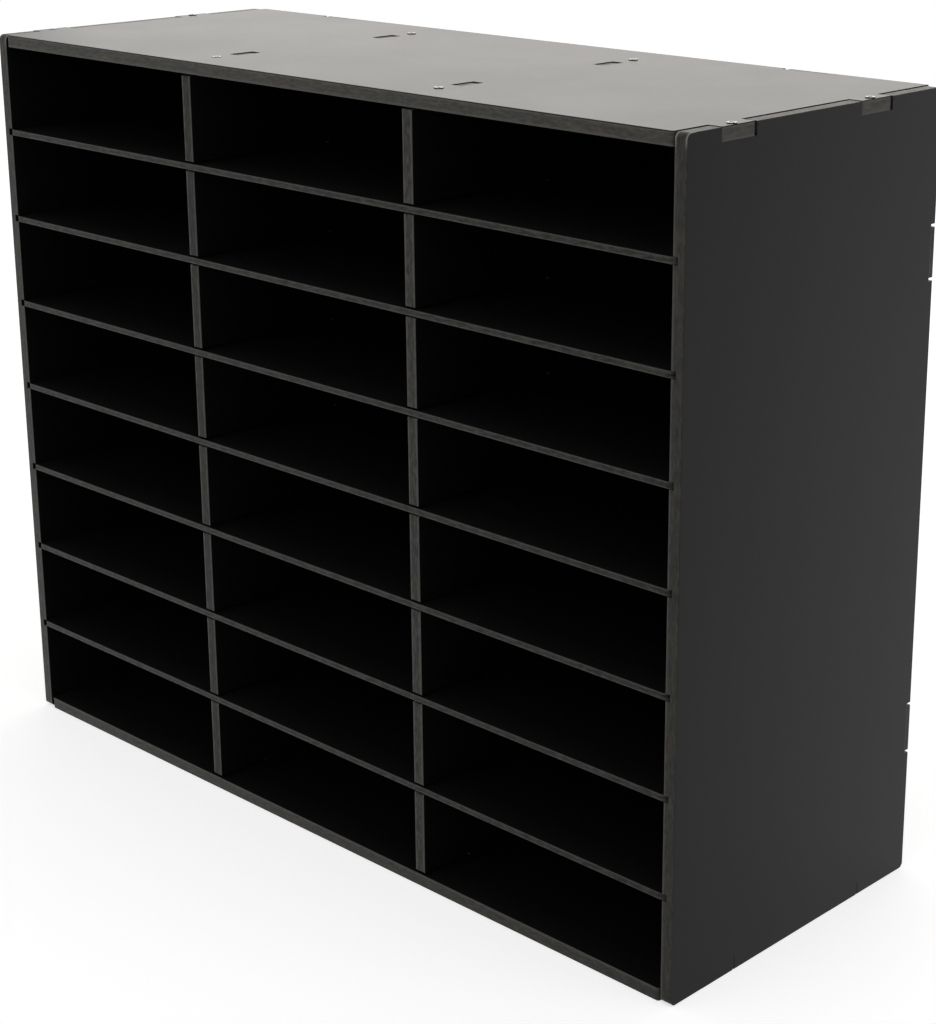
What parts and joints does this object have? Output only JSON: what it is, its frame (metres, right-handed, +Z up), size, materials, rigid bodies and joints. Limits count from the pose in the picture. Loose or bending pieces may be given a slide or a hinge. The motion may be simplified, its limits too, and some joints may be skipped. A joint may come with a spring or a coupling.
{
  "type": "pigeonhole mail sorter",
  "caption": "Free-standing open-front cabinet of black boards with full-width sliding shelves lapped over upright dividers, for sorting letter-size mail and papers.",
  "frame": {"origin": "on the floor under the middle of the cabinet", "axes": "+X to the right seen from the open front, +Y from the open front to the closed back, +Z up"},
  "size_m": [0.75, 0.28, 0.6107],
  "materials": {
    "carcass_board": "black satin laminate on fibreboard, painted edges",
    "back_sheet": "black satin laminate on thin fibreboard",
    "shelf_sheet": "black satin laminate on thin fibreboard, painted edges",
    "zinc_screw": "bright zinc plate"
  },
  "bodies": {
    "carcass": {"left_side_panel": "carcass_board", "right_side_panel": "carcass_board", "top_panel": "carcass_board", "bottom_panel": "carcass_board", "back_panel": "back_sheet", "left_divider": "carcass_board", "right_divider": "carcass_board", "top_end_screws": "zinc_screw", "top_divider_screws": "zinc_screw", "bottom_end_screws": "zinc_screw", "bottom_divider_screws": "zinc_screw", "back_edge_screws": "zinc_screw", "back_divider_screws": "zinc_screw"},
    "shelf_1": {"shelf_1": "shelf_sheet"},
    "shelf_2": {"shelf_2": "shelf_sheet"},
    "shelf_3": {"shelf_3": "shelf_sheet"},
    "shelf_4": {"shelf_4": "shelf_sheet"},
    "shelf_5": {"shelf_5": "shelf_sheet"},
    "shelf_6": {"shelf_6": "shelf_sheet"},
    "shelf_7": {"shelf_7": "shelf_sheet"}
  },
  "joints": [
    {"name": "shelf_1_slide", "type": "slide", "parent": "carcass", "child": "shelf_1", "axis": [0, -1, 0], "range_m": [0, 0.275]},
    {"name": "shelf_2_slide", "type": "slide", "parent": "carcass", "child": "shelf_2", "axis": [0, -1, 0], "range_m": [0, 0.275]},
    {"name": "shelf_3_slide", "type": "slide", "parent": "carcass", "child": "shelf_3", "axis": [0, -1, 0], "range_m": [0, 0.275]},
    {"name": "shelf_4_slide", "type": "slide", "parent": "carcass", "child": "shelf_4", "axis": [0, -1, 0], "range_m": [0, 0.275]},
    {"name": "shelf_5_slide", "type": "slide", "parent": "carcass", "child": "shelf_5", "axis": [0, -1, 0], "range_m": [0, 0.275]},
    {"name": "shelf_6_slide", "type": "slide", "parent": "carcass", "child": "shelf_6", "axis": [0, -1, 0], "range_m": [0, 0.275]},
    {"name": "shelf_7_slide", "type": "slide", "parent": "carcass", "child": "shelf_7", "axis": [0, -1, 0], "range_m": [0, 0.275]}
  ]
}
